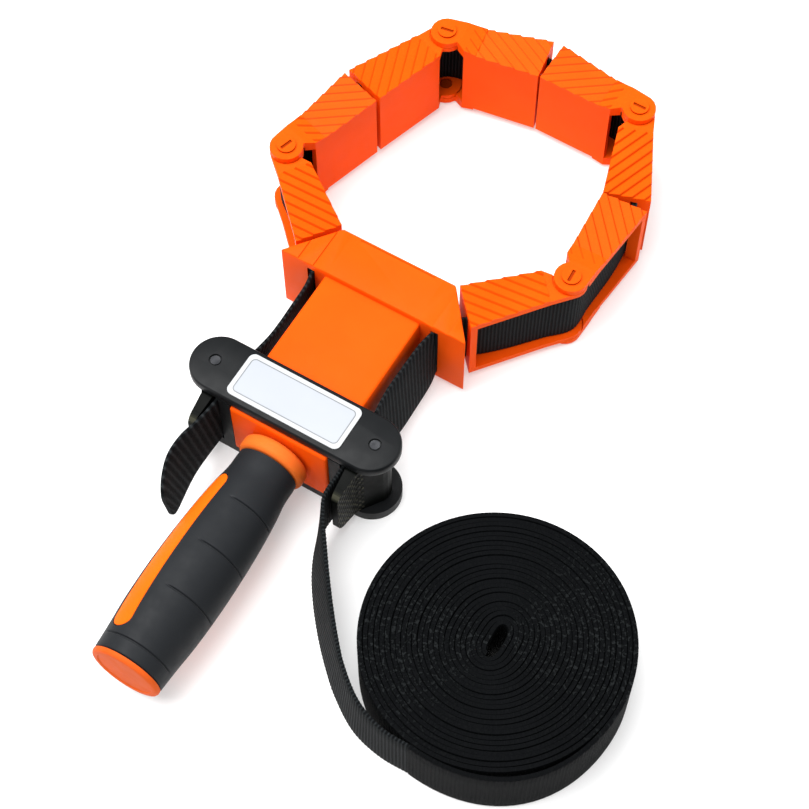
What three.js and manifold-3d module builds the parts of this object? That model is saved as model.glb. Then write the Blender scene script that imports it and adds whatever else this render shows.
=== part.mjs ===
// Band clamp: four hinged corner brackets on one loop of webbing, drawn tight by a screw handle.
// Millimetres, +Z up. X runs along the yoke and Y from the handle to the front jaw.
// The origin is the centre of the jaw's front face, halfway up.
import * as THREE from 'three';
import { mergeVertices } from 'three/addons/utils/BufferGeometryUtils.js';
import Module from 'manifold-3d';

const wasm = await Module();
wasm.setup();

// Clearances shared by all pieces
const GAP = 0.3; // between pieces that touch or run on each other
const OVERRUN = 1; // how far a cutter passes the face that it cuts

// Webbing
const STRAP = { width: 25, thick: 1.2, x: 24.2, slotPlay: 0.7 };

// Front jaw and the box behind it, one moulding
const JAW = {
  backHalf: 36.2, frontHalf: 22.1, depth: 18, height: 32,
  lineHalf: 14.5, lineInset: 0.9, lineWide: 0.5, lineDeep: 0.4,
};
const BOX = { halfWidth: 18.6, length: 59.2, height: 27, wall: 2.4 };

// Yoke that slides on the box and carries the two cam levers
const YOKE = {
  pinX: 30.5, aheadOfRear: 11, plateThick: 4.4, halfDepth: 10.2, endX: 28.8, recessRadius: 2.2, recessDeep: 0.7,
};
const PIN = { radius: 1.3, headRadius: 1.7, headThick: 0.5 };
const LABEL = { length: 42.8, width: 16.8, thick: 0.5, corner: 2.2 };

// Cam levers and their torsion springs
const LEVER = {
  camRadius: 5.4, camRise: 1.2, camSpread: 70, teeth: 7, toothDeep: 0.45, hubRadius: 5.2,
  reach: 20.5, tipOut: 1.2, tipThick: 2.4, rootAt: 10.5, rootThick: 4.4, tipHalf: 12.2, tipRound: 4,
};
const SPRING = { coilRadius: 3.0, wire: 0.6, curls: 3, pitch: 1.1, pocketRadius: 3.7 };

// Screw, nut and handle, all on the Y axis
const SCREW = { radius: 4, bearingDeep: 6, endPlay: 1, toGripEnd: 17.6 };
const NUT = { halfWidth: 7, length: 8, height: 14 };
const CRADLE = { wall: 2 };
const CLIP = { radius: 7.5, thick: 1.3 };
const WASHER = { radius: 8, thick: 0.6 };
const HANDLE = {
  collarRadius: 12.1, collarLength: 5.6, edge: 1.6, coreRadius: 8.2, gripLength: 81.1, gripRadius: 14,
  capLength: 1.7, capDome: 1.2, capFlatShare: 0.85, capShoulderShare: 0.96, spigotRadius: 6.5, spigotLength: 7,
  inlayWidth: 8, inlayStart: 11.8, inlayToEnd: 7.8, inlaySunk: 0.12, inlayAngle: 46,
};
// Grip profile: share of the grip's length from its front, and of its largest radius
const GRIP_SHARES = [
  [0, 0.786], [0.09, 0.79], [0.16, 0.85], [0.26, 0.914], [0.42, 0.975], [0.61, 1], [0.78, 0.975], [0.9, 0.92],
  [1, 0.886],
];

// Corner brackets: two arms each, hinged at the outer corner
const ARM = {
  length: 36.9, inner: 5.6, outerEnd: 11.2, outerHinge: 6.8, wallStart: 8.5, neckU: 5.4, neckV: 3.4,
  innerWall: 2.2, endWall: 2.4, webRoom: 0.4, webOut: 5.5, flange: 2.3,
  lugRadius: 5.9, lugThick: 1.7, earThick: 2.4, earSlope: 13, lugPlay: 0.5,
  ridgePitch: 3.4, ridgeHeight: 0.7, ridgeAngle: 37, ridgeStart: 8.7, ridgeSunk: 0.3, ridgeCrestShare: 0.86,
};
const SNAP = { radius: 2.2, headRadius: 3.3, slotWide: 1.2, slotLong: 4.8, slotDeep: 0.6 };
const LINK = { gap: 1.8, intoJaw: 0.7 }; // webbing that shows between brackets, and how far it enters the jaw
// Which way the first six arms run along the loop, from the jaw's left end; the last two close the loop
const HEADINGS = [144, 73, 72, 9, -1, -73];
const FAR_ARMS = [2, 4, 5, 7]; // the arm of each bracket that is further from the jaw
const TOP_ARMS = [4, 5]; // they face each other over the gap that stays open
const BRACKETS = 4;

// Left end of the webbing, and the free run from the right cam to the coil: points in plan, then height.
// Their Y, and the coil's, is measured from the cam pins
const LEFT_TAIL = [
  [-24.2, 9.4, 0], [-24.2, -1.8, 0], [-24.3, -11.8, 0], [-24.9, -19.8, 0], [-25.5, -26.8, 0],
  [-24.9, -33.8, 0], [-23, -40.4, 0], [-20.6, -46.2, 0],
];
const FREE_RUN = [
  [24.2, 9.4, 0], [24.2, 0, 0], [24.1, -11.8, 0], [24, -21.7, -0.4], [26.3, -28, -1.2], [30.5, -35.3, -2.4],
  [36.3, -43.5, -3.8], [43.8, -52.7, -5], [50.8, -60.3, -5.6], [57.1, -66.3, -5.7], [68, -73.8, -5.7],
  [79, -77, -5.7],
];
const TAIL_TIP = { taper: 12, end: 9 };
const COIL = { x: 94.7, y: -33.9, outer: 43.8, loops: 24, stepsPerLoop: 24, pitch: 1.66, startAngle: -97 };

// Places that follow from the sizes above
const jawBack = -JAW.depth;
const boxRear = jawBack - BOX.length;
const boxTop = BOX.height / 2;
const yokeY = boxRear + YOKE.aheadOfRear;
const plateInner = boxTop + GAP;
const plateOuter = plateInner + YOKE.plateThick;
const floorZ = -plateOuter;
const wallInner = BOX.halfWidth + GAP;
const wallOuter = STRAP.x - STRAP.thick / 2 - GAP;
const strapTop = STRAP.width / 2;

const orange = new THREE.MeshStandardMaterial({ color: 0xff6a14, roughness: 0.42, metalness: 0 });
const blackPlastic = new THREE.MeshStandardMaterial({ color: 0x2c2e30, roughness: 0.5, metalness: 0 });
const gripRubber = new THREE.MeshStandardMaterial({ color: 0x303336, roughness: 0.75, metalness: 0 });
const webbing = new THREE.MeshStandardMaterial({ color: 0x16181a, roughness: 0.9, metalness: 0 });
const labelWhite = new THREE.MeshStandardMaterial({ color: 0xeef4fb, roughness: 0.4, metalness: 0 });
const steel = new THREE.MeshStandardMaterial({ color: 0x8e9092, roughness: 0.35, metalness: 1 });

const clamp = new THREE.Group();
clamp.name = 'band_clamp';

// A closed geometry as a solid that can be joined and cut
function solid(geometry) {
  const bare = geometry.clone();
  bare.deleteAttribute('normal');
  bare.deleteAttribute('uv');
  const merged = mergeVertices(bare, 1e-5);
  const index = merged.index.array;
  const kept = [];
  for (let i = 0; i < index.length; i += 3) {
    const [a, b, c] = [index[i], index[i + 1], index[i + 2]];
    if (a !== b && b !== c && c !== a) kept.push(a, b, c);
  }
  return new wasm.Manifold(new wasm.Mesh({
    numProp: 3,
    vertProperties: new Float32Array(merged.attributes.position.array),
    triVerts: new Uint32Array(kept),
  }));
}

// A solid as a geometry
function geometryOf(body) {
  const mesh = body.getMesh();
  const geometry = new THREE.BufferGeometry();
  geometry.setAttribute('position', new THREE.BufferAttribute(new Float32Array(mesh.vertProperties), 3));
  geometry.setIndex(new THREE.BufferAttribute(new Uint32Array(mesh.triVerts), 1));
  return geometry;
}

// The mirror image of a solid; axes such as (-1, 1, 1) name what is turned over
function mirrored(body, x, y, z) {
  const geometry = geometryOf(body);
  geometry.scale(x, y, z);
  const index = geometry.index.array;
  for (let i = 0; i < index.length; i += 3) [index[i], index[i + 1]] = [index[i + 1], index[i]];
  return solid(geometry);
}

function joined(bodies) {
  return bodies.reduce((all, body) => all.add(body));
}

// A piece of the clamp: its own named mesh
function piece(name, body, material) {
  const mesh = new THREE.Mesh(geometryOf(body), material);
  mesh.name = name;
  clamp.add(mesh);
  return mesh;
}

function box(x0, x1, y0, y1, z0, z1) {
  const geometry = new THREE.BoxGeometry(x1 - x0, y1 - y0, z1 - z0);
  geometry.translate((x0 + x1) / 2, (y0 + y1) / 2, (z0 + z1) / 2);
  return solid(geometry);
}

// An outline in plan, from one height to another
function slab(shape, z0, z1, curveSegments = 12) {
  const geometry = new THREE.ExtrudeGeometry(shape, { depth: z1 - z0, bevelEnabled: false, curveSegments });
  geometry.translate(0, 0, z0);
  return solid(geometry);
}

function polygon(points) {
  return new THREE.Shape(points.map(([x, y]) => new THREE.Vector2(x, y)));
}

// An upright drum at a place in plan
function drum(x, y, radius, z0, z1, sides = 20) {
  const geometry = new THREE.CylinderGeometry(radius, radius, z1 - z0, sides);
  geometry.rotateX(Math.PI / 2);
  geometry.translate(x, y, (z0 + z1) / 2);
  return solid(geometry);
}

// A round bar on the Y axis
function bar(radius, y0, y1, sides = 24) {
  const geometry = new THREE.CylinderGeometry(radius, radius, y1 - y0, sides);
  geometry.translate(0, (y0 + y1) / 2, 0);
  return solid(geometry);
}

// A profile turned about the Y axis: [radius, y] points from low y to high y, closed on the axis
function turned(profile, sides = 28) {
  const points = [[0, profile[0][1]], ...profile, [0, profile[profile.length - 1][1]]];
  return solid(new THREE.LatheGeometry(points.map(([r, y]) => new THREE.Vector2(r, y)), sides));
}

const rad = THREE.MathUtils.degToRad;

// Where the webbing leaves the jaw's right slanted face, in line with its place in the arms
const slant = new THREE.Vector2(JAW.backHalf - JAW.frontHalf, -JAW.depth).normalize();
const faceOut = new THREE.Vector2(-slant.y, slant.x);
const webExit = new THREE.Vector2(JAW.frontHalf, 0).addScaledVector(slant, ARM.inner + ARM.webOut);
const webEntry = new THREE.Vector2(STRAP.x, jawBack);
const webWay = webExit.clone().sub(webEntry).normalize();

// Front jaw with the hollow box on its back; the webbing passes through the jaw on both sides
function slideBody() {
  const half = JAW.height / 2;
  const jaw = slab(polygon([
    [-JAW.backHalf, jawBack], [JAW.backHalf, jawBack], [JAW.frontHalf, 0], [-JAW.frontHalf, 0],
  ]), -half, half);
  const shell = box(-BOX.halfWidth, BOX.halfWidth, boxRear, jawBack + BOX.wall, -boxTop, boxTop);
  const hollowHalf = BOX.halfWidth - BOX.wall;
  const cuts = [
    box(-hollowHalf, hollowHalf, boxRear + BOX.wall, jawBack, -boxTop - OVERRUN, boxTop - BOX.wall),
    bar(SCREW.radius + GAP, boxRear - OVERRUN, boxRear + BOX.wall + OVERRUN),
    bar(SCREW.radius + GAP, jawBack - OVERRUN, jawBack + SCREW.bearingDeep),
  ];
  const slotHalf = STRAP.thick / 2 + STRAP.slotPlay;
  const slotTop = strapTop + ARM.webRoom;
  const [back, front] = [[webEntry, -OVERRUN], [webExit, OVERRUN]]
    .map(([point, past]) => point.clone().addScaledVector(webWay, past));
  const [acrossX, acrossY] = [webWay.y * slotHalf, -webWay.x * slotHalf];
  const slot = slab(polygon([
    [back.x - acrossX, back.y - acrossY], [back.x + acrossX, back.y + acrossY],
    [front.x + acrossX, front.y + acrossY], [front.x - acrossX, front.y - acrossY],
  ]), -slotTop, slotTop);
  cuts.push(slot, mirrored(slot, -1, 1, 1));
  for (const side of [-1, 1]) {
    cuts.push(box(
      -JAW.lineHalf, JAW.lineHalf, -JAW.lineInset - JAW.lineWide, -JAW.lineInset,
      side > 0 ? half - JAW.lineDeep : -half - OVERRUN, side > 0 ? half + OVERRUN : -half + JAW.lineDeep,
    ));
  }
  return cuts.reduce((body, cut) => body.subtract(cut), jaw.add(shell));
}

// Outline of the yoke's plates: straight sides and half-round ends
function yokeOutline() {
  const shape = new THREE.Shape();
  shape.absarc(YOKE.endX, yokeY, YOKE.halfDepth, -Math.PI / 2, Math.PI / 2, false);
  shape.absarc(-YOKE.endX, yokeY, YOKE.halfDepth, Math.PI / 2, 1.5 * Math.PI, false);
  shape.closePath();
  return shape;
}

function yokePlate() {
  let plate = slab(yokeOutline(), plateInner, plateOuter, 16);
  for (const side of [-1, 1]) {
    const x = side * YOKE.pinX;
    plate = plate.subtract(drum(x, yokeY, PIN.radius + GAP, plateInner - OVERRUN, plateOuter + OVERRUN));
    const floor = plateOuter - YOKE.recessDeep;
    plate = plate.subtract(drum(x, yokeY, YOKE.recessRadius, floor, plateOuter + OVERRUN));
  }
  return plate;
}

// Lower plate, the two side walls and the cradle that pulls the nut
function yokeBase() {
  const y0 = yokeY - YOKE.halfDepth;
  const y1 = yokeY + YOKE.halfDepth;
  const bodies = [mirrored(yokePlate(), 1, 1, -1)];
  for (const side of [-1, 1]) {
    const [x0, x1] = side > 0 ? [wallInner, wallOuter] : [-wallOuter, -wallInner];
    bodies.push(box(x0, x1, y0, y1, -plateInner - YOKE.plateThick / 2, plateInner));
  }
  const cradleX = NUT.halfWidth + GAP + CRADLE.wall;
  const cradleY = NUT.length / 2 + GAP + CRADLE.wall;
  const cradle = box(
    -cradleX, cradleX, yokeY - cradleY, yokeY + cradleY, -plateInner - YOKE.plateThick / 2, NUT.height / 2,
  );
  const pocket = box(
    -NUT.halfWidth - GAP, NUT.halfWidth + GAP, yokeY - NUT.length / 2 - GAP, yokeY + NUT.length / 2 + GAP,
    -NUT.height / 2 - GAP, NUT.height / 2 + OVERRUN,
  );
  const passage = box(
    -SCREW.radius - GAP, SCREW.radius + GAP, yokeY - cradleY - OVERRUN, yokeY + cradleY + OVERRUN,
    -SCREW.radius - GAP, NUT.height / 2 + OVERRUN,
  );
  bodies.push(cradle.subtract(pocket).subtract(passage));
  return joined(bodies);
}

function labelPlate() {
  const x = LABEL.length / 2;
  const y = LABEL.width / 2;
  const c = LABEL.corner;
  const shape = new THREE.Shape();
  shape.absarc(x - c, yokeY + y - c, c, 0, Math.PI / 2, false);
  shape.absarc(-x + c, yokeY + y - c, c, Math.PI / 2, Math.PI, false);
  shape.absarc(-x + c, yokeY - y + c, c, Math.PI, 1.5 * Math.PI, false);
  shape.absarc(x - c, yokeY - y + c, c, 1.5 * Math.PI, 2 * Math.PI, false);
  return slab(shape, plateOuter, plateOuter + LABEL.thick, 5);
}

// Pin that a cam lever turns on, headed in the recesses of both plates
function camPin(x) {
  const seat = plateOuter - YOKE.recessDeep;
  return joined([
    drum(x, yokeY, PIN.radius, -seat - PIN.headThick / 2, seat + PIN.headThick / 2),
    drum(x, yokeY, PIN.headRadius, seat, seat + PIN.headThick),
    drum(x, yokeY, PIN.headRadius, -seat - PIN.headThick, -seat),
  ]);
}

// Outline of a lever seen from the side, wider than the plates' gap at the cam and rounded at its tip
function leverSide() {
  const half = plateInner - GAP;
  const r = LEVER.tipRound;
  const tip = yokeY - LEVER.reach;
  const shape = new THREE.Shape();
  shape.moveTo(yokeY + LEVER.reach, half);
  shape.lineTo(yokeY - LEVER.rootAt, half);
  shape.absarc(tip + r, LEVER.tipHalf - r, r, Math.PI / 2, Math.PI, false);
  shape.absarc(tip + r, -LEVER.tipHalf + r, r, Math.PI, 1.5 * Math.PI, false);
  shape.lineTo(yokeY - LEVER.rootAt, -half);
  shape.lineTo(yokeY + LEVER.reach, -half);
  const depth = 2 * YOKE.pinX;
  const geometry = new THREE.ExtrudeGeometry(shape, { depth, bevelEnabled: false, curveSegments: 6 });
  // The outline's X becomes Y and its Y becomes the height
  geometry.rotateX(Math.PI / 2);
  geometry.rotateZ(Math.PI / 2);
  return solid(geometry);
}

// Right cam lever: a toothed cam that bears on the webbing, and a short arm behind it
function camLever() {
  const half = plateInner - GAP;
  const outline = [];
  const steps = LEVER.teeth * 2;
  // The cam's radius grows towards its rear, so that the webbing's pull turns it tighter
  for (let i = 0; i <= steps; i += 1) {
    const pastContact = rad((i / steps - 0.5) * LEVER.camSpread);
    const flat = LEVER.camRadius / Math.cos(pastContact);
    const spiral = LEVER.camRadius + LEVER.camRise * (i / steps - 0.5);
    const radius = Math.min(flat, spiral) - (i % 2 ? LEVER.toothDeep : 0);
    outline.push([-Math.cos(pastContact) * radius, -Math.sin(pastContact) * radius]);
  }
  outline.push(
    [-LEVER.camRadius, -LEVER.hubRadius], [-LEVER.camRadius + LEVER.tipOut, -LEVER.reach],
    [-LEVER.camRadius + LEVER.tipOut + LEVER.tipThick, -LEVER.reach],
    [-LEVER.camRadius + LEVER.rootThick, -LEVER.rootAt],
  );
  const turns = 8;
  const first = rad(-30);
  const last = Math.PI - rad(LEVER.camSpread / 2) - rad(15);
  for (let i = 0; i <= turns; i += 1) {
    const angle = first + (i / turns) * (last - first);
    outline.push([Math.cos(angle) * LEVER.hubRadius, Math.sin(angle) * LEVER.hubRadius]);
  }
  return slab(polygon(outline.map(([x, y]) => [x + YOKE.pinX, y + yokeY])), -half, half)
    .intersect(leverSide())
    .subtract(drum(YOKE.pinX, yokeY, PIN.radius + GAP, -half - OVERRUN, half + OVERRUN))
    .subtract(drum(YOKE.pinX, yokeY, SPRING.pocketRadius, springLow - GAP, half + OVERRUN));
}

// A closed tube of any section along a route of points; each ring is level with the last
function sweep(route, section) {
  const sides = section.length;
  const position = [];
  const index = [];
  route.forEach((point, i) => {
    const before = route[Math.max(i - 1, 0)];
    const after = route[Math.min(i + 1, route.length - 1)];
    const ahead = new THREE.Vector2(after.x - before.x, after.y - before.y).normalize();
    const scale = point.scale ?? 1;
    for (const [across, up] of section) {
      position.push(point.x - ahead.y * across, point.y + ahead.x * across, point.z + up * scale);
    }
  });
  for (let i = 0; i < route.length - 1; i += 1) {
    for (let j = 0; j < sides; j += 1) {
      const a = i * sides + j;
      const b = i * sides + ((j + 1) % sides);
      index.push(a, a + sides, b, b, a + sides, b + sides);
    }
  }
  const last = (route.length - 1) * sides;
  for (let j = 1; j < sides - 1; j += 1) {
    index.push(0, j, j + 1);
    index.push(last, last + j + 1, last + j);
  }
  const geometry = new THREE.BufferGeometry();
  geometry.setAttribute('position', new THREE.Float32BufferAttribute(position, 3));
  geometry.setIndex(index);
  return solid(geometry);
}

// Section of a round wire
function roundSection(radius, sides) {
  return Array.from({ length: sides }, (_, i) => {
    const angle = (-i / sides) * 2 * Math.PI;
    return [Math.cos(angle) * radius, Math.sin(angle) * radius];
  });
}

// Section of the webbing, standing on its edge
const halfThick = STRAP.thick / 2;
const webSection = [
  [halfThick, -strapTop], [-halfThick, -strapTop], [-halfThick, strapTop], [halfThick, strapTop],
];

// Torsion spring that returns a cam lever, in its pocket round the pin
const springTop = plateInner - GAP - SPRING.wire / 2;
const springLow = springTop - SPRING.curls * SPRING.pitch - SPRING.wire / 2;
function camSpring(x) {
  const steps = 8;
  const route = [];
  for (let i = 0; i <= SPRING.curls * steps; i += 1) {
    const turn = i / steps;
    const angle = turn * 2 * Math.PI;
    route.push({
      x: x + Math.cos(angle) * SPRING.coilRadius,
      y: yokeY + Math.sin(angle) * SPRING.coilRadius,
      z: springTop - turn * SPRING.pitch,
    });
  }
  return sweep(route, roundSection(SPRING.wire / 2, 5));
}

// Nut, square in its cradle, with clearance for the screw
function driveNut() {
  const nut = box(
    -NUT.halfWidth, NUT.halfWidth, yokeY - NUT.length / 2, yokeY + NUT.length / 2,
    -NUT.height / 2, NUT.height / 2,
  );
  return nut.subtract(bar(SCREW.radius + GAP, yokeY - NUT.length, yokeY + NUT.length));
}

// Handle stations along Y, from the box to the end
const collarFront = boxRear - WASHER.thick - GAP;
const gripFront = collarFront - HANDLE.collarLength;
const gripRear = gripFront - HANDLE.gripLength;
const screwRear = gripRear + SCREW.toGripEnd;

function leadScrew() {
  return bar(SCREW.radius, screwRear, jawBack + SCREW.bearingDeep - SCREW.endPlay);
}

// A ring on the screw: the clip inside the box's rear wall, or the washer in front of the handle's collar
function ringOnScrew(radius, y0, thick) {
  return bar(radius, y0, y0 + thick).subtract(bar(SCREW.radius + GAP, y0 - OVERRUN, y0 + thick + OVERRUN));
}

// Grip profile as [radius, y] from the rear end to the front, with every radius changed by an offset
function gripProfile(offset, frontGap) {
  const points = GRIP_SHARES.map(([along, out]) => [
    HANDLE.gripRadius * out + offset, gripFront - HANDLE.gripLength * along,
  ]).reverse();
  points[points.length - 1][1] -= frontGap;
  return points;
}

// A stadium-shaped bar that stands out from the Y axis at an angle from the top
function stadium(width, start, length, angle) {
  const r = width / 2;
  const y0 = gripFront - start - length + r;
  const y1 = gripFront - start - r;
  const shape = new THREE.Shape();
  shape.absarc(0, y1, r, 0, Math.PI, false);
  shape.absarc(0, y0, r, Math.PI, 2 * Math.PI, false);
  const reach = HANDLE.gripRadius + OVERRUN;
  const geometry = new THREE.ExtrudeGeometry(shape, { depth: reach, bevelEnabled: false, curveSegments: 6 });
  geometry.rotateY(rad(angle));
  return solid(geometry);
}

const inlaySides = [-HANDLE.inlayAngle, 180 - HANDLE.inlayAngle];
const inlayLength = HANDLE.gripLength - HANDLE.inlayStart - HANDLE.inlayToEnd;

// Orange core: collar, tube over the screw, and two ribs that show through the grip
function handleCore() {
  const r = HANDLE.collarRadius;
  const collar = turned([
    [r - HANDLE.edge, gripFront], [r, gripFront + HANDLE.edge], [r, collarFront - HANDLE.edge],
    [r - HANDLE.edge, collarFront],
  ]);
  const tube = bar(HANDLE.coreRadius, gripRear + GAP, gripFront + HANDLE.edge);
  const inside = turned(gripProfile(-HANDLE.inlaySunk, 0));
  const ribs = inlaySides.map((angle) => stadium(
    HANDLE.inlayWidth, HANDLE.inlayStart, inlayLength, angle,
  ).intersect(inside));
  const bore = bar(SCREW.radius + GAP, screwRear - GAP, boxRear);
  const socket = bar(HANDLE.spigotRadius + GAP, gripRear - OVERRUN, gripRear + HANDLE.spigotLength + GAP);
  return joined([collar, tube, ...ribs]).subtract(bore).subtract(socket);
}

// Soft sleeve over the core, with a window for each rib
function gripSleeve() {
  const bore = bar(HANDLE.coreRadius + GAP, gripRear - OVERRUN, gripFront + OVERRUN);
  const windows = inlaySides.map((angle) => stadium(
    HANDLE.inlayWidth + 2 * GAP, HANDLE.inlayStart - GAP, inlayLength + 2 * GAP, angle,
  ));
  return windows.reduce((body, cut) => body.subtract(cut), turned(gripProfile(0, GAP)).subtract(bore));
}

// End cap, held by a spigot in the core
function endCap() {
  const r = HANDLE.gripRadius * GRIP_SHARES[GRIP_SHARES.length - 1][1];
  const face = gripRear - GAP;
  const end = face - HANDLE.capLength;
  return joined([
    turned([
      [r * HANDLE.capFlatShare, end], [r * HANDLE.capShoulderShare, end + HANDLE.capDome / 2],
      [r, end + HANDLE.capDome], [r, face],
    ]),
    bar(HANDLE.spigotRadius, face - HANDLE.capLength / 2, gripRear + HANDLE.spigotLength),
  ]);
}

// Heights of a bracket's top flange and lugs
const flangeLow = strapTop + ARM.webRoom;
const flangeHigh = flangeLow + ARM.flange;
const lugSplit = flangeLow + ARM.lugThick;
const outerLugLow = lugSplit + GAP;
const outerLugHigh = outerLugLow + ARM.earThick;
const snapTop = -floorZ;
const ridgeTop = flangeHigh + ARM.ridgeHeight;

// Saw-tooth ridges over a flange, cut to its outline
function ridges(outline, side) {
  const reach = ARM.length + ARM.outerEnd;
  const count = Math.ceil(reach / ARM.ridgePitch);
  const low = flangeHigh - ARM.ridgeSunk;
  const profile = [[0, low]];
  for (let i = count - 1; i >= 0; i -= 1) {
    const crest = (i + ARM.ridgeCrestShare) * ARM.ridgePitch;
    profile.splice(1, 0, [i * ARM.ridgePitch, flangeHigh], [crest, ridgeTop]);
  }
  profile.push([count * ARM.ridgePitch, flangeHigh], [count * ARM.ridgePitch, low]);
  const geometry = new THREE.ExtrudeGeometry(polygon(profile), { depth: 2 * reach, bevelEnabled: false });
  // The profile's X runs across the ridges and its Y becomes the height
  geometry.rotateX(Math.PI / 2);
  geometry.translate(-reach / 5, reach, 0);
  geometry.rotateZ(rad(ARM.ridgeAngle - 90) * side);
  geometry.translate(ARM.ridgeStart, 0, 0);
  const field = box(
    ARM.ridgeStart, ARM.length + OVERRUN, -ARM.outerEnd - OVERRUN, ARM.outerEnd + OVERRUN,
    low - OVERRUN, ridgeTop + OVERRUN,
  );
  return solid(geometry).intersect(field).intersect(slab(outline, low - OVERRUN, ridgeTop + OVERRUN));
}

// Slope from a far arm's raised ear down to its ridges
function earSlope(outline) {
  const profile = polygon([
    [0, outerLugLow], [ARM.earSlope, outerLugLow], [ARM.earSlope, ridgeTop], [ARM.lugRadius, outerLugHigh],
    [0, outerLugHigh],
  ]);
  const reach = ARM.outerEnd;
  const geometry = new THREE.ExtrudeGeometry(profile, { depth: 2 * reach, bevelEnabled: false });
  geometry.rotateX(Math.PI / 2);
  geometry.translate(0, reach, 0);
  return solid(geometry).intersect(slab(outline, outerLugLow, outerLugHigh));
}

// One arm of a bracket along +X from its hinge. side is 1 where the ring's inside is on +Y, or else -1.
// A far arm has the outer lugs and carries the snap pins; a near arm has the inner lugs. Only the upper
// flange is ridged.
function bracketArm(side, far) {
  const shape = (points) => polygon((side > 0 ? points : [...points].reverse()).map(([u, v]) => [u, v * side]));
  const outline = shape([
    [0, -ARM.lugRadius], [ARM.wallStart, -ARM.outerHinge], [ARM.length, -ARM.outerEnd], [ARM.length, ARM.inner],
    [ARM.wallStart, ARM.inner], [ARM.neckU, ARM.neckV], [0, ARM.neckV],
  ]);
  const neck = shape([
    [0, -ARM.lugRadius], [ARM.ridgeStart, -ARM.outerHinge], [ARM.ridgeStart, ARM.inner],
    [ARM.wallStart, ARM.inner], [ARM.neckU, ARM.neckV], [0, ARM.neckV],
  ]);
  const keep = ARM.lugRadius + ARM.lugPlay;
  const flange = (plate) => {
    const lugged = far
      ? plate.subtract(drum(0, 0, keep, flangeLow - OVERRUN, outerLugLow))
        .add(slab(neck, outerLugLow, ridgeTop))
        .add(earSlope(outline))
        .add(drum(0, 0, ARM.lugRadius, outerLugLow, outerLugHigh))
      : plate.subtract(drum(0, 0, keep, lugSplit, ridgeTop + OVERRUN))
        .add(drum(0, 0, ARM.lugRadius, flangeLow, lugSplit));
    return lugged.subtract(drum(0, 0, SNAP.radius + GAP, flangeLow - OVERRUN, outerLugHigh + OVERRUN, 14));
  };
  const plain = slab(outline, flangeLow, flangeHigh);
  const top = flange(plain.add(ridges(outline, side)));
  const bottom = mirrored(flange(plain), 1, 1, -1);
  const wall = shape([
    [ARM.wallStart, ARM.inner - ARM.innerWall], [ARM.length, ARM.inner - ARM.innerWall], [ARM.length, ARM.inner],
    [ARM.wallStart, ARM.inner],
  ]);
  const end = box(
    ARM.length - ARM.endWall, ARM.length, -ARM.outerEnd, ARM.outerEnd, -flangeHigh, flangeHigh,
  ).intersect(slab(outline, -flangeHigh, flangeHigh));
  const slotHalf = STRAP.thick / 2 + STRAP.slotPlay;
  const v = -side * ARM.webOut;
  const slot = box(
    ARM.length - ARM.endWall - OVERRUN, ARM.length + OVERRUN, v - slotHalf, v + slotHalf, -flangeLow, flangeLow,
  );
  return joined([top, bottom, slab(wall, -flangeHigh, flangeHigh), end]).subtract(slot);
}

// Snap pin of a bracket's upper hinge: slotted head, and a short shaft through both lugs
function snapPin() {
  return joined([
    drum(0, 0, SNAP.headRadius, outerLugHigh, snapTop, 20),
    drum(0, 0, SNAP.radius, flangeLow + GAP, outerLugHigh + GAP, 14),
  ]).subtract(box(
    -SNAP.slotLong / 2, SNAP.slotLong / 2, -SNAP.slotWide / 2, SNAP.slotWide / 2,
    snapTop - SNAP.slotDeep, snapTop + OVERRUN,
  ));
}

// Webbing inside one arm, from just off the hinge to a distance past the arm's end face
function armStrap(side, past) {
  const v = -side * ARM.webOut;
  return box(STRAP.thick, ARM.length + past, v - STRAP.thick / 2, v + STRAP.thick / 2, -strapTop, strapTop);
}

// The loop's pivots, in order: jaw's left end, hinge, gap, hinge, gap, hinge, gap, hinge, jaw's right end
function loopPivots() {
  const right = new THREE.Vector2(JAW.frontHalf, 0)
    .addScaledVector(slant, ARM.inner).addScaledVector(faceOut, LINK.gap / 2);
  const link = ARM.length + LINK.gap / 2;
  const pivots = [new THREE.Vector2(-right.x, right.y)];
  for (const heading of HEADINGS) {
    const last = pivots[pivots.length - 1];
    pivots.push(new THREE.Vector2(
      last.x + Math.cos(rad(heading)) * link, last.y + Math.sin(rad(heading)) * link,
    ));
  }
  // The last two arms meet at the hinge that is one link from both ends of what is left open
  const open = right.clone().sub(pivots[pivots.length - 1]);
  const rise = Math.sqrt(link ** 2 - open.lengthSq() / 4);
  const middle = pivots[pivots.length - 1].clone().addScaledVector(open, 0.5);
  const aside = new THREE.Vector2(-open.y, open.x).normalize();
  pivots.push(middle.addScaledVector(aside, rise), right);
  return pivots;
}

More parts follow.
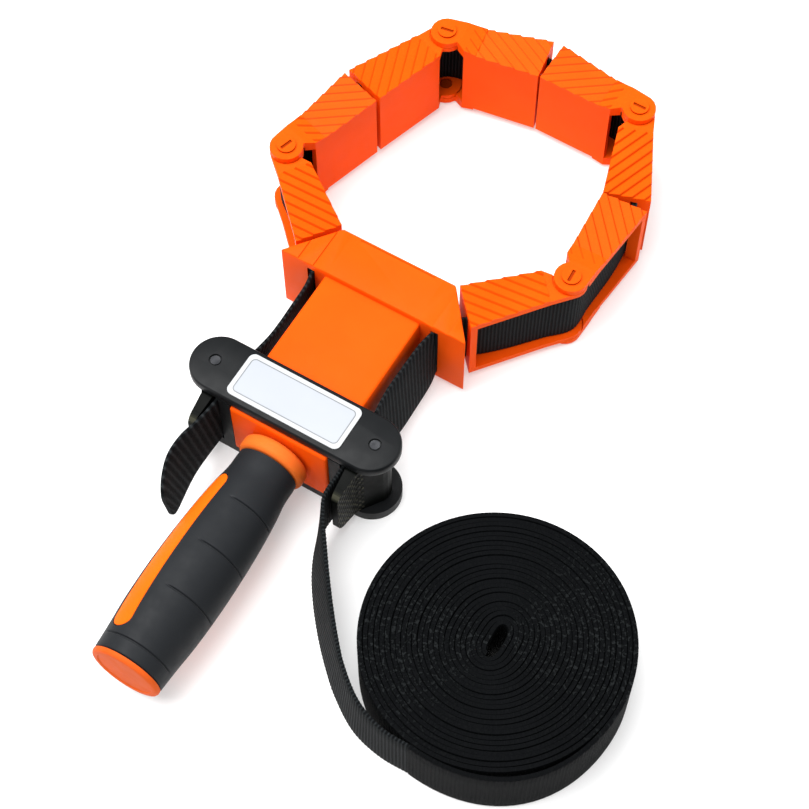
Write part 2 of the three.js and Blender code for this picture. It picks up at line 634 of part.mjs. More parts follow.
// Brackets and the webbing in them, placed along the loop
function addRing() {
  const pivots = loopPivots();
  const shapes = {
    nearLeft: bracketArm(1, false), farLeft: bracketArm(1, true),
    nearRight: bracketArm(-1, false), farRight: bracketArm(-1, true),
  };
  for (let k = 1; k <= 2 * BRACKETS; k += 1) {
    // Odd arms run back from their hinge, against the loop's direction, and even arms run on with it
    const odd = k % 2 === 1;
    const hinge = odd ? pivots[k] : pivots[k - 1];
    const end = odd ? pivots[k - 1] : pivots[k];
    const far = FAR_ARMS.includes(k);
    const put = (name, body, material) => {
      const mesh = piece(name, body, material);
      mesh.position.set(hinge.x, hinge.y, 0);
      mesh.rotation.z = Math.atan2(end.y - hinge.y, end.x - hinge.x);
    };
    put(`bracket_arm_${k}`, shapes[(far ? 'far' : 'near') + (odd ? 'Left' : 'Right')], orange);
    const meetsJaw = k === 1 || k === 2 * BRACKETS;
    const past = meetsJaw ? LINK.gap / 2 + LINK.intoJaw : (LINK.gap - GAP) / 2;
    put(`strap_in_arm_${k}`, armStrap(odd ? 1 : -1, TOP_ARMS.includes(k) ? 0 : past), webbing);
    if (far) {
      const bracket = Math.ceil(k / 2);
      put(`snap_pin_${bracket}_upper`, snapPin(), orange);
      put(`snap_pin_${bracket}_lower`, mirrored(snapPin(), 1, 1, -1), orange);
    }
  }
  console.log(`pivots ${pivots.map((p) => `${p.x.toFixed(3)},${p.y.toFixed(3)}`).join(' ')}`);
}

// A smooth route through chosen points
function smooth(points, steps) {
  const curve = new THREE.CatmullRomCurve3(
    points.map(([x, y, z]) => new THREE.Vector3(x, y, z)), false, 'centripetal',
  );
  return curve.getSpacedPoints(steps).map((p) => ({ x: p.x, y: p.y, z: p.z }));
}

// Short end of the webbing behind the left cam, tapered to a round tip
function leftTail() {
  const route = smooth(LEFT_TAIL.map(([x, y, z]) => [x, yokeY + y, z]), 18);
  const end = route[route.length - 1];
  for (const point of route) {
    const left = Math.hypot(end.x - point.x, end.y - point.y);
    const share = Math.min(left / TAIL_TIP.taper, 1);
    const round = Math.sqrt(1 - (1 - share) ** 2);
    point.scale = TAIL_TIP.end / STRAP.width + (1 - TAIL_TIP.end / STRAP.width) * round;
  }
  return sweep(route, webSection);
}

// The rest of the webbing, wound into a coil that stands on its edge: one unbroken spiral
function coilRoute() {
  const route = [];
  for (let i = 0; i <= COIL.loops * COIL.stepsPerLoop; i += 1) {
    const turn = i / COIL.stepsPerLoop;
    const angle = rad(COIL.startAngle) + turn * 2 * Math.PI;
    const radius = COIL.outer - COIL.pitch * turn;
    route.push({
      x: COIL.x + Math.cos(angle) * radius, y: yokeY + COIL.y + Math.sin(angle) * radius, z: floorZ + strapTop,
    });
  }
  // The outer end runs straight on for one thickness, to meet the free run
  return [beyond(route[1], route[0], STRAP.thick), ...route];
}

// The point that lies a distance past b, on the line from a
function beyond(a, b, distance) {
  const length = Math.hypot(b.x - a.x, b.y - a.y);
  return { x: b.x + ((b.x - a.x) / length) * distance, y: b.y + ((b.y - a.y) / length) * distance, z: b.z };
}

// Least gap between neighbouring loops, from each point of one loop's line to the stretches of the next
function leastCoilGap(route) {
  let least = Infinity;
  for (let i = 0; i < route.length; i += 1) {
    const from = i + COIL.stepsPerLoop / 2;
    for (let j = from; j < Math.min(from + COIL.stepsPerLoop, route.length - 1); j += 1) {
      const [p, a, b] = [route[i], route[j], route[j + 1]];
      const d = new THREE.Vector2(b.x - a.x, b.y - a.y);
      const t = THREE.MathUtils.clamp(((p.x - a.x) * d.x + (p.y - a.y) * d.y) / d.lengthSq(), 0, 1);
      least = Math.min(least, Math.hypot(a.x + d.x * t - p.x, a.y + d.y * t - p.y));
    }
  }
  return least - STRAP.thick;
}

// Free run from the right cam to the coil, whose first point it meets
function freeRun(coil) {
  const meet = beyond(coil[1], coil[0], GAP);
  const before = beyond(coil[1], coil[0], GAP + STRAP.thick);
  const points = FREE_RUN.map(([x, y, z]) => [x, yokeY + y, z]);
  const curve = smooth([...points, [before.x, before.y, before.z]], 40);
  return sweep([...curve, meet], webSection);
}

const coil = coilRoute();
console.log(`coil: least gap between loops ${leastCoilGap(coil).toFixed(3)} mm`);

const strapY0 = yokeY + YOKE.halfDepth - OVERRUN + GAP;

// Webbing inside the jaw, from just off its back to just short of its right slanted face
function jawStrap() {
  const start = webEntry.clone().addScaledVector(webWay, STRAP.thick / 2);
  const end = webExit.clone().addScaledVector(webWay, -STRAP.thick / 2);
  return sweep([{ x: start.x, y: start.y, z: 0 }, { x: end.x, y: end.y, z: 0 }], webSection);
}

piece('slide_body', slideBody(), orange);
piece('yoke_base', yokeBase(), blackPlastic);
piece('yoke_top', yokePlate(), blackPlastic);
piece('label_plate', labelPlate(), labelWhite);
piece('cam_pin_right', camPin(YOKE.pinX), steel);
piece('cam_pin_left', camPin(-YOKE.pinX), steel);
piece('cam_lever_right', camLever(), blackPlastic);
piece('cam_lever_left', mirrored(camLever(), -1, 1, 1), blackPlastic);
piece('cam_spring_right', camSpring(YOKE.pinX), steel);
piece('cam_spring_left', mirrored(camSpring(YOKE.pinX), -1, 1, 1), steel);
piece('drive_nut', driveNut(), steel);
piece('lead_screw', leadScrew(), steel);
piece('retaining_clip', ringOnScrew(CLIP.radius, boxRear + BOX.wall + GAP, CLIP.thick), steel);
piece('thrust_washer', ringOnScrew(WASHER.radius, collarFront, WASHER.thick), steel);
piece('handle_core', handleCore(), orange);
piece('grip_sleeve', gripSleeve(), gripRubber);
piece('end_cap', endCap(), orange);
for (const [side, sideName] of [[-1, 'left'], [1, 'right']]) {
  const [x0, x1] = [side * STRAP.x - STRAP.thick / 2, side * STRAP.x + STRAP.thick / 2];
  piece(`strap_front_${sideName}`, box(x0, x1, strapY0, jawBack - GAP, -strapTop, strapTop), webbing);
  piece(`strap_in_jaw_${sideName}`, side > 0 ? jawStrap() : mirrored(jawStrap(), -1, 1, 1), webbing);
}
addRing();
piece('strap_tail_left', leftTail(), webbing);
piece('strap_free_run', freeRun(coil), webbing);
piece('strap_coil', sweep(coil, webSection), webbing);

export default clamp;
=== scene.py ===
# Band clamp with a screw handle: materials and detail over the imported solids, in metres.
import math

import bpy
import bmesh
from mathutils import Matrix, Vector


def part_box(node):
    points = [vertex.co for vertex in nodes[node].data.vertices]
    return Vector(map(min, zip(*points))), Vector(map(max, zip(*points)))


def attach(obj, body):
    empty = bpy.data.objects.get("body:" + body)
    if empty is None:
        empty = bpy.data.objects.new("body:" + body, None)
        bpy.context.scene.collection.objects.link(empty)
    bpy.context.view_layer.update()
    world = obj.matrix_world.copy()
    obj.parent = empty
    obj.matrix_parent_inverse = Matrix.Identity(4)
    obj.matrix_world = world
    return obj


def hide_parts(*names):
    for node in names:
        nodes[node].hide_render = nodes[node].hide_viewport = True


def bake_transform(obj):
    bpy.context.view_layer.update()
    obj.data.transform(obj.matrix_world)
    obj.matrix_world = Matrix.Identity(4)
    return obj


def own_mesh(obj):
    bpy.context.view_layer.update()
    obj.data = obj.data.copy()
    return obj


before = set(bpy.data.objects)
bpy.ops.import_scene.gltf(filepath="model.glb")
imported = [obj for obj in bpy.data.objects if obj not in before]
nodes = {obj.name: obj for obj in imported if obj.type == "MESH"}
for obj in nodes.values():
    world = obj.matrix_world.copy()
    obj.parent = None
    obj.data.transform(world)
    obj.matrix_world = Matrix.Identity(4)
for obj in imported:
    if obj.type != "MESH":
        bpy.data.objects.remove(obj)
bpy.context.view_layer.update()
MM = 0.001
scene = bpy.context.scene
scene.view_settings.view_transform = "Standard"

# Measures in mm and degrees. The jaw's front is at y = 0, and the handle lies behind it, at y below 0.
JAW_BACK_HALF, JAW_FRONT_HALF, JAW_DEPTH, JAW_TOP = 36.2, 22.1, 18.0, 16.0
BOX_HALF, BOX_REAR, BOX_TOP, BOX_WALL = 18.6, -77.2, 13.5, 2.4
SLOT_HALF, SLOT_TOP, SCREW_HOLE = 1.3, 12.9, 4.3
ENTRY, EXIT = Vector((24.2, -18.0)), Vector((28.945, -8.74))
LINE_HALF, LINE_BACK, LINE_FRONT, LINE_DEEP = 14.5, -1.4, -0.9, 0.4
SLOPE_STARTS, SLOPE_WIDTH, SLOPE_DEEP = (17.6, 23.6, 29.6), 5.8, 0.45

YOKE_Y, PLATE_ROUND, PLATE_STRAIGHT = -66.2, 10.2, 28.8
PIN_X, HEAD_RADIUS, HEAD_DEEP, HOLE_RADIUS = 30.5, 2.2, 0.7, 1.6
LABEL_CORNER, LABEL_LINE, LABEL_FIELD = 3.2, (1.42, 1.8), 1.82
NET_FRONT, NET_ROWS, NET_POSTS = -74.5, 2.0, 3.4

GRIP_FRONT, GRIP_REAR, GRIP_RADIUS, GRIP_BORE = -83.7, -164.8, 14.0, 8.5
# Shares of the grip's length and, at each, of its radius
GRIP_SHAPE = [
    (0, 0.786), (0.09, 0.79), (0.16, 0.85), (0.26, 0.914), (0.42, 0.975), (0.61, 1), (0.78, 0.975),
    (0.9, 0.92), (1, 0.886),
]
COLLAR_FRONT, COLLAR_RADIUS, COLLAR_ROUND = -78.1, 12.1, 1.9
CORE_RADIUS, CORE_BORE, CAP_BORE, CAP_PLUG, PLUG_LENGTH = 8.2, 4.3, 6.8, 6.5, 7
INLAY_WIDTH, INLAY_FRONT, INLAY_REAR, INLAY_ANGLE, INLAY_TWIST = 8.0, -95.5, -157.0, 43.8, 2.1
GROOVES, GROOVE_DEEP, GROOVE_HALF = (-103.0, -121.0, -139.0, -159.6), 0.7, 0.25
# Where a groove begins and ends, in degrees from an inlay's middle, and where the last one does
GROOVE_SPAN, LAST_SPAN, GROOVE_FADE = (38, 138), (-12, 126), 10

# Hinges and link ends of the brackets, from the jaw's left end round to its right end
PIVOTS = [
    (-26.262, -3.853), (-56.843, 18.365), (-45.791, 54.513), (-34.110, 90.463), (3.224, 96.376),
    (41.019, 95.717), (52.070, 59.568), (54.007, 21.818), (26.262, -3.853),
]
LINK_GAP, ARM_LENGTH = 1.8, 36.9
RIDGE_PITCH, RIDGE_CREST, RIDGE_START, RIDGE_BACK, RIDGE_TURN, RIDGE_BASE = 3.4, 0.86, 8.7, 9.62, 53.0, 12.0
# How dark the steps of each arm's ridges are. Those of arms 2 and 5 face away from the front.
RIDGE_SHADE = {1: 0.36, 2: 0.46, 3: 0.36, 4: 0.36, 5: 0.46, 6: 0.36, 7: 0.26, 8: 0.2}
FACING_AWAY = (2, 5)

STRAP_X, STRAP_HALF, STRAP_THICK, FLOOR = 24.2, 12.5, 1.2, -18.2
RIB_PITCH, RIB_SWELL, THREAD_PITCH = 1.3, 0.13, 0.55
# Distance between sections, and how far along the whole band the front, the loop, the tail and the run begin
STEP, FRONT_FROM, LOOP_FROM, TAIL_FROM, RUN_FROM = 0.425, 200.0, 300.0, 100.0, 500.0
# How far the webbing stands outwards of an arm's middle line, by distance from the hinge
BOW = ((9.0, -3.9), (16.0, -4.7), (24.0, -5.5), (31.0, -5.7), (36.9, -5.5))
BOW_END, SPLIT, KNUCKLE = -5.5, 24.0, -3.5
# x, y from the yoke's middle, z, and the webbing's lean
LEFT_TAIL = [
    (-24.2, 9.4, 0, 0), (-24.2, -1.8, 0, 0), (-24.3, -11.8, 0, 0), (-24.9, -19.8, 0, -2),
    (-25.5, -26.8, 0, -6), (-24.9, -33.8, 0, -8), (-23, -40.4, 0, -8), (-20.6, -46.2, 0, -8),
]
FREE_RUN = [
    (24.2, 9.4, 0, 0), (24.2, 0, 0, 0), (24.1, -11.8, 0, 0), (24, -21.7, -0.4, 2), (26.3, -28, -1.2, 7),
    (30.5, -35.3, -2.4, 11), (36.3, -43.5, -3.8, 12), (43.8, -52.7, -5, 11), (50.8, -60.3, -5.6, 9),
    (57.1, -66.3, -5.7, 7), (68, -73.8, -5.7, 4), (79, -77, -5.7, 1),
]
TAIL_ROUND = 15.0

COIL_X, COIL_Y, COIL_OUTER, COIL_LOOPS, COIL_START = 94.7, -100.1, 43.8, 24, -97.0
COIL_THICK, COIL_EDGE, COIL_LIFT, SPECK_TURN = 1.6, 0.84, 0.35, 31.0
SLIT_HALF, SLIT_REACH = 2.0, 3.6
BULGE, BULGE_TURNS = 1.3, 0.26


def mm(*values):
    return Vector(values) * MM


def add_camera():
    azimuth, elevation, roll = math.radians(31.0), math.radians(61.6), math.radians(-0.2)
    target, distance = mm(21.0, -32.0, -18.2), 0.687
    back = Vector((
        math.sin(azimuth) * math.cos(elevation),
        -math.cos(azimuth) * math.cos(elevation),
        math.sin(elevation),
    ))
    camera = bpy.data.cameras.new("camera")
    camera.lens = 89.0
    camera.sensor_width = 36.0
    camera.clip_start = 0.01
    camera.clip_end = 20.0
    obj = bpy.data.objects.new("camera", camera)
    turn = (-back).to_track_quat("-Z", "Y").to_matrix() @ Matrix.Rotation(roll, 3, "Z")
    obj.matrix_world = Matrix.Translation(target + back * distance) @ turn.to_4x4()
    scene.collection.objects.link(obj)
    scene.camera = obj


class Nodes:
    """A new material and short calls to fill its node tree."""

    def __init__(self, name):
        self.material = bpy.data.materials.new(name)
        self.material.use_nodes = True
        self.tree = self.material.node_tree
        self.shader = self.tree.nodes["Principled BSDF"]

    def add(self, kind, **values):
        node = self.tree.nodes.new(kind)
        for key, value in values.items():
            setattr(node, key, value)
        return node

    def link(self, a, b):
        self.tree.links.new(a, b)

    def set(self, **values):
        for key, value in values.items():
            self.shader.inputs[key.replace("_", " ")].default_value = value

    def place(self):
        return self.add("ShaderNodeTexCoord").outputs["Object"]

    def split(self, vector):
        node = self.add("ShaderNodeSeparateXYZ")
        self.link(vector, node.inputs[0])
        return node.outputs

    def facing(self):
        return self.split(self.add("ShaderNodeTexCoord").outputs["Normal"])

    def noise(self, vector, scale, detail, roughness=0.5):
        node = self.add("ShaderNodeTexNoise")
        node.inputs["Scale"].default_value = scale
        node.inputs["Detail"].default_value = detail
        node.inputs["Roughness"].default_value = roughness
        self.link(vector, node.inputs["Vector"])
        return node.outputs["Fac"]

    def math(self, operation, *values):
        node = self.add("ShaderNodeMath", operation=operation)
        for i, value in enumerate(values):
            if isinstance(value, (int, float)):
                node.inputs[i].default_value = value
            else:
                self.link(value, node.inputs[i])
        return node.outputs[0]

    def product(self, first, *others):
        for other in others:
            first = self.math("MULTIPLY", first, other)
        return first

    def remap(self, value, low, high, to_low=0.0, to_high=1.0):
        node = self.add("ShaderNodeMapRange")
        for i, v in enumerate((low, high, to_low, to_high)):
            node.inputs[i + 1].default_value = v
        self.link(value, node.inputs[0])
        return node.outputs[0]

    def ramp(self, value, stops):
        node = self.add("ShaderNodeValToRGB")
        ramp = node.color_ramp
        while len(ramp.elements) < len(stops):
            ramp.elements.new(0.5)
        for element, (at, colour) in zip(ramp.elements, stops):
            element.position = at
            element.color = (*colour, 1)
        self.link(value, node.inputs[0])
        return node.outputs[0]

    def colour(self, value):
        self.link(value, self.shader.inputs["Base Color"])

    def darken(self, share):
        """Take a share away from the colour that is linked."""
        scaled = self.add("ShaderNodeVectorMath", operation="SCALE")
        self.link(self.shader.inputs["Base Color"].links[0].from_socket, scaled.inputs[0])
        self.link(self.math("SUBTRACT", 1.0, share), scaled.inputs["Scale"])
        self.colour(scaled.outputs[0])

    def rough(self, value):
        self.link(value, self.shader.inputs["Roughness"])

    def satin(self, rough):
        """Roughness that drifts a little about a value."""
        self.rough(self.remap(self.noise(self.place(), 260, 4), 0.3, 0.7, rough - 0.05, rough + 0.06))

    def bump(self, height, strength, distance, onto=None):
        node = self.add("ShaderNodeBump")
        node.inputs["Strength"].default_value = strength
        node.inputs["Distance"].default_value = distance
        self.link(height, node.inputs["Height"])
        if onto is not None:
            self.link(onto, node.inputs["Normal"])
        self.link(node.outputs[0], self.shader.inputs["Normal"])
        return node.outputs[0]


def moulded(name, dark, light, rough, grain, depth, **more):
    """Moulded plastic: slight drift of its colour and gloss, and a fine grain. more is for the shader."""
    n = Nodes(name)
    at = n.place()
    drift = n.noise(at, 38, 3)
    n.colour(n.ramp(drift, [(0.3, dark), (0.7, light)]))
    n.satin(rough)
    fine = n.bump(n.noise(at, grain, 2), 0.22, depth)
    n.bump(drift, 0.15, 0.0004, fine)
    n.set(**more)
    return n


def orange(name, dark=(0.78, 0.073, 0.0016), light=(0.86, 0.084, 0.0024), rough=0.44):
    """Orange plastic, which lets light a little way in."""
    return moulded(
        name, dark, light, rough, 2600, 0.00004, Specular_IOR_Level=0.035,
        Subsurface_Weight=0.06, Subsurface_Radius=(0.004, 0.0012, 0.0003), Subsurface_Scale=1.0,
    )


def arm_line(k):
    """Hinge of arm k, the direction along it and the side on which it opens."""
    odd = k % 2 == 1
    hinge, end = (PIVOTS[k], PIVOTS[k - 1]) if odd else (PIVOTS[k - 1], PIVOTS[k])
    length = math.dist(hinge, end)
    return hinge, ((end[0] - hinge[0]) / length, (end[1] - hinge[1]) / length), 1 if odd else -1


def ridged(k):
    """Orange plastic with the shade that lies in the steps between the ridges on top of arm k."""
    n = orange(f"orange_plastic_arm_{k}")
    (hx, hy), (ax, ay), side = arm_line(k)
    x, y, z = n.split(n.place())
    # Distances from the hinge, each as its factors of x, of y and of 1
    along = Vector((ax / MM, ay / MM, -(hx * ax + hy * ay)))
    outward = Vector((-ay / MM, ax / MM, hx * ay - hy * ax))
    turn = math.radians(-RIDGE_TURN * side)
    over = along * math.cos(turn) + outward * math.sin(turn)
    over.z += RIDGE_BACK - RIDGE_START * math.cos(turn)

    def distance(factors):
        of_x, of_y, of_1 = factors
        return n.math("ADD", n.math("MULTIPLY_ADD", x, of_x, of_1), n.math("MULTIPLY", y, of_y))

    part = n.math("FRACT", n.math("DIVIDE", distance(over), RIDGE_PITCH))
    # Steps that face away from the front are seen only by the shade that reaches over their crests
    begin = RIDGE_CREST - (0.19 if k in FACING_AWAY else 0.07)
    step = n.product(n.remap(part, begin, begin + 0.07), n.math("LESS_THAN", part, 0.995))
    on_top = n.product(
        n.math("GREATER_THAN", n.facing()[2], 0.3),
        n.math("GREATER_THAN", distance(along), RIDGE_START),
        n.math("GREATER_THAN", z, RIDGE_BASE * MM),
    )
    n.darken(n.product(step, on_top, RIDGE_SHADE[k]))
    return n


def slotted():
    """Orange plastic that is shaded in the slots of the snap pins' heads."""
    n = orange("orange_plastic_pins")
    height = n.math("ABSOLUTE", n.split(n.place())[2])
    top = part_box("snap_pin_1_upper")[1][2]
    n.darken(n.product(n.math("LESS_THAN", height, top - 0.25 * MM), 0.62))
    return n


def knurled():
    """Black plastic with a coarse net of raised points on the right lever's outer face, painted highlights on
    the points, and painted highlights along the rims.
    """
    n = Nodes("lever_plastic")
    n.set(Specular_IOR_Level=0.03)
    n.satin(0.4)
    x, y, z = n.split(n.place())
    outward, _, upward = n.facing()
    where = n.product(
        n.math("GREATER_THAN", outward, 0.6),
        n.math("LESS_THAN", y, NET_FRONT * MM),
        n.math("GREATER_THAN", x, 0.0),
    )
    drift = n.product(n.noise(n.place(), 420, 2), 2.2)
    rows, posts = (
        n.math("SINE", n.math("MULTIPLY_ADD", value, 2 * math.pi / (pitch * MM), drift))
        for value, pitch in ((y, NET_ROWS), (z, NET_POSTS))
    )
    point = n.product(n.remap(n.product(rows, posts), -0.3, 0.6), where)
    # Painted highlights: the raised points are coloured light olive, with random strength, standing for the
    # light they catch.
    painted_point_highlight = n.product(point, n.remap(n.noise(n.place(), 700, 2), 0.35, 0.65, 0.15, 1.0))
    # Painted highlight: the rounded rims, where the surface turns towards the top, are coloured lighter.
    rim = n.product(n.remap(upward, 0.2, 0.5), n.remap(upward, 0.75, 0.95, 1.0, 0.0))
    painted_highlights = n.math("MAXIMUM", painted_point_highlight, n.product(rim, 0.62))
    n.colour(n.ramp(painted_highlights, [
        (0.0, (0.0024, 0.0028, 0.0024)), (0.5, (0.026, 0.0265, 0.019)), (1.0, (0.105, 0.100, 0.070)),
    ]))
    n.bump(point, 0.8, 0.0005)
    return n


def steel(name, dark, light):
    n = Nodes(name)
    at = n.place()
    stretch = n.add("ShaderNodeMapping")
    stretch.inputs["Scale"].default_value = (1.0, 1.0, 0.08)
    n.link(at, stretch.inputs["Vector"])
    streak = n.noise(stretch.outputs[0], 1800, 3)
    n.set(Metallic=1.0)
    n.colour(n.ramp(n.noise(at, 300, 3), [(0.3, dark), (0.7, light)]))
    n.rough(n.remap(streak, 0.3, 0.7, 0.32, 0.5))
    n.bump(streak, 0.2, 0.00004)
    return n


def selvedge_glints(n, edge):
    """Painted glints on the coil's selvedge: light specks, most on the two sides where its turns run towards
    the front.
    """
    x, y, _ = n.split(n.place())
    dx, dy = n.math("SUBTRACT", x, COIL_X * MM), n.math("SUBTRACT", y, COIL_Y * MM)
    turn = math.radians(SPECK_TURN)
    run = n.math("ADD", n.product(dx, math.cos(turn)), n.product(dy, math.sin(turn)))
    reach = n.math("ADD", n.product(dx, dx), n.product(dy, dy))
    share = n.math("DIVIDE", n.product(run, run), n.math("MAXIMUM", reach, 1e-6))
    glint_specks = n.remap(n.noise(n.place(), 820, 3, 0.6), 0.46, 0.60)
    return n.product(glint_specks, n.math("MULTIPLY_ADD", share, 0.85, 0.3), edge)


def woven(name, pitch, uneven, bright, deep=0.00032, flat_edge=False):
    """Ribbed webbing, with painted light on its rib crests and painted shade between them. Its UV map holds
    the place along the length and across the width, in metres. With flat_edge its broad faces get painted
    shade, and its selvedge has painted glints in place of ribs."""
    n = Nodes(name)
    uv = n.add("ShaderNodeUVMap", uv_map="weave").outputs[0]
    along, across, _ = n.split(uv)
    wobble = n.product(n.noise(uv, 500, 2), uneven)
    phase = n.math("ADD", n.product(along, 2 * math.pi / (pitch * MM)), wobble)
    rib = n.math("MULTIPLY_ADD", n.math("SINE", phase), 0.5, 0.5)
    # Threads run along the webbing, and go over and under from rib to rib
    lane = n.math("SINE", n.product(across, 2 * math.pi / (THREAD_PITCH * MM)))
    flip = n.math("SINE", n.product(along, math.pi / (pitch * MM)))
    thread = n.math("MULTIPLY_ADD", n.product(lane, flip), 0.5, 0.5)
    fuzz = n.noise(uv, 5200, 3, 0.7)
    height = n.math("ADD", n.product(rib, 0.72), n.product(thread, 0.28))
    if flat_edge:
        # Painted shade: the broad faces, which form the coil's outer side, are coloured darker than the
        # selvedge, with flatter ribs.
        side = n.remap(n.math("ABSOLUTE", across), (STRAP_HALF - 0.7) * MM, (STRAP_HALF - 0.2) * MM, 1.0, 0.0)
        # Painted glints: light specks on the selvedge, where the coil's turns would catch the light.
        ends = selvedge_glints(n, n.math("SUBTRACT", 1.0, side))
        height = n.math("MULTIPLY_ADD", height, n.product(side, 0.68), ends)
    # Painted light and shade: rib crests and threads are coloured lighter and the hollows between them
    # darker, with random fibre tone from fuzz on top.
    painted_relief_and_fuzz = n.math("ADD", n.product(height, 0.75), n.product(fuzz, 0.35))
    n.colour(n.ramp(painted_relief_and_fuzz, [
        (0.15, (0.0012, 0.0015, 0.0020) if flat_edge else (0.0012, 0.0013, 0.0015)),
        (0.55, (bright * 0.18, bright * 0.22, bright * 0.25)),
        (0.95, (bright * 0.88, bright, bright * 1.06)),
    ]))
    n.rough(n.remap(fuzz, 0.3, 0.7, 0.62, 0.86))
    n.set(Sheen_Weight=0.0 if flat_edge else 0.01, Sheen_Roughness=0.45, Specular_IOR_Level=0.05)
    coarse = n.bump(height, 0.8, deep)
    n.bump(fuzz, 0.35, 0.00010, coarse)
    return n


def make_materials():
    looks = {
        "orange": orange("orange_plastic"),
        "inlay": orange("inlay_plastic", (0.80, 0.115, 0.004), (0.88, 0.130, 0.005), 0.5),
        "collar": orange("collar_plastic", (0.62, 0.120, 0.015), (0.70, 0.134, 0.019), 0.5),
        "cap": orange("cap_plastic", (0.54, 0.080, 0.010), (0.64, 0.094, 0.013), 0.5),
        "black": moulded(
            "black_plastic", (0.0045, 0.0053, 0.006), (0.0068, 0.0076, 0.0084), 0.45, 3200, 0.00005,
            Specular_IOR_Level=0.13,
        ),
        "lever": knurled(),
        "pin": slotted(),
        **{f"arm_{k}": ridged(k) for k in range(1, 9)},
        "rubber": moulded(
            "grip_rubber", (0.0055, 0.0067, 0.0085), (0.0078, 0.0092, 0.0112), 0.62, 3600, 0.00008,
            Sheen_Weight=0.03, Sheen_Roughness=0.5, Specular_IOR_Level=0.2,
        ),
        "label": moulded(
            "label_film", (0.40, 0.41, 0.42), (0.42, 0.43, 0.44), 0.36, 1500, 0.00001,
            Coat_Weight=0.15, Coat_Roughness=0.2,
        ),
        "line": moulded("label_line", (0.15, 0.16, 0.17), (0.18, 0.19, 0.20), 0.45, 1500, 0.00001),
        "panel": moulded("label_panel", (0.325, 0.345, 0.385), (0.345, 0.365, 0.40), 0.4, 1500, 0.00001),
        "steel": steel("zinc_steel", (0.20, 0.20, 0.21), (0.36, 0.36, 0.37)),
        "rivet": steel("dull_steel", (0.020, 0.021, 0.023), (0.050, 0.051, 0.055)),
        "webbing": woven("webbing", RIB_PITCH, 1.4, 0.024),
        "tail": woven("tail_webbing", 2.7, 2.0, 0.030, 0.0005),
        "strained": woven("strained_webbing", 2.0, 2.4, 0.030, 0.0003),
        "wound": woven("wound_webbing", RIB_PITCH, 1.2, 0.010, 0.0004, True),
    }
    return {key: n.material for key, n in looks.items()}


add_camera()
MATERIAL = make_materials()
FINISH = {
    "slide_body": "orange", "yoke_base": "black", "yoke_top": "black", "label_plate": "label",
    "cam_pin_left": "rivet", "cam_pin_right": "rivet", "cam_lever_left": "lever", "cam_lever_right": "lever",
    "cam_spring_left": "steel", "cam_spring_right": "steel", "drive_nut": "steel", "lead_screw": "steel",
    "retaining_clip": "steel", "thrust_washer": "steel", "handle_core": "collar", "grip_sleeve": "rubber",
    "end_cap": "cap",
}
BEVEL = {
    "yoke_base": 0.6, "label_plate": 0.2, "cam_lever_left": 0.8, "cam_lever_right": 0.8, "end_cap": 0.4,
    "cam_pin_left": 0.25, "cam_pin_right": 0.25,
}


def finish_of(name):
    if name.startswith("bracket_arm"):
        return name.replace("bracket_", "")
    if name.startswith("snap_pin"):
        return "pin"
    if name.startswith("strap"):
        return "webbing"
    return FINISH[name]


def paint(obj, finish):
    obj.data.materials.clear()
    obj.data.materials.append(MATERIAL[finish])


def shaded(obj, degrees=35.0):
    obj.data.shade_smooth()
    obj.data.set_sharp_from_angle(angle=math.radians(degrees))
    return obj


def bevelled(obj, width, angle=35.0, segments=3):
    """Round edges and even shading, as modifiers, so that the mesh stays as it is."""
    bevel = obj.modifiers.new("bevel", "BEVEL")
    bevel.width = width * MM
    bevel.segments = segments
    bevel.limit_method = "ANGLE"
    bevel.angle_limit = math.radians(angle)
    bevel.harden_normals = False
    bevel.use_clamp_overlap = True
    even = obj.modifiers.new("weighted", "WEIGHTED_NORMAL")
    even.keep_sharp = True


for name, obj in nodes.items():
    paint(obj, finish_of(name))
    shaded(obj, 30)
    if name in BEVEL:
        bevelled(obj, BEVEL[name])
    elif name.startswith("bracket_arm"):
        bevelled(obj, 0.28, 32.0, 2)
    elif name.startswith("snap_pin"):
        bevelled(obj, 0.3)


def made(name, bm, finish):
    """A new object from a bmesh, in mm, with its material."""
    bmesh.ops.recalc_face_normals(bm, faces=bm.faces)
    bmesh.ops.scale(bm, vec=(MM, MM, MM), verts=bm.verts)
    mesh = bpy.data.meshes.new(name)
    bm.to_mesh(mesh)
    bm.free()
    obj = bpy.data.objects.new(name, mesh)
    scene.collection.objects.link(obj)
    paint(obj, finish)
    return obj


def joined(bm, a, b):
    """Faces between two rings of as many points."""
    for i in range(len(a)):
        k = (i + 1) % len(a)
        corners = list(dict.fromkeys((a[i], a[k], b[k], b[i])))
        if len(corners) > 2:
            bm.faces.new(corners)


def prism(name, outline, z0, z1, finish, round_by=0.0):
    """A closed bar with the outline as its section along Z, and with round_by all its edges rounded."""
    bm = bmesh.new()
    low, high = ([bm.verts.new((x, y, z)) for x, y in outline] for z in (z0, z1))
    bm.faces.new(low)
    bm.faces.new(high)
    joined(bm, low, high)
    bmesh.ops.recalc_face_normals(bm, faces=bm.faces)
    if round_by:
        bmesh.ops.bevel(
            bm, geom=bm.edges, offset=round_by, segments=3, profile=0.5, affect="EDGES", clamp_overlap=True,
        )
    return made(name, bm, finish)


def block(name, x0, x1, y0, y1, z0, z1, finish, round_by=0.0):
    return prism(name, [(x0, y0), (x1, y0), (x1, y1), (x0, y1)], z0, z1, finish, round_by)


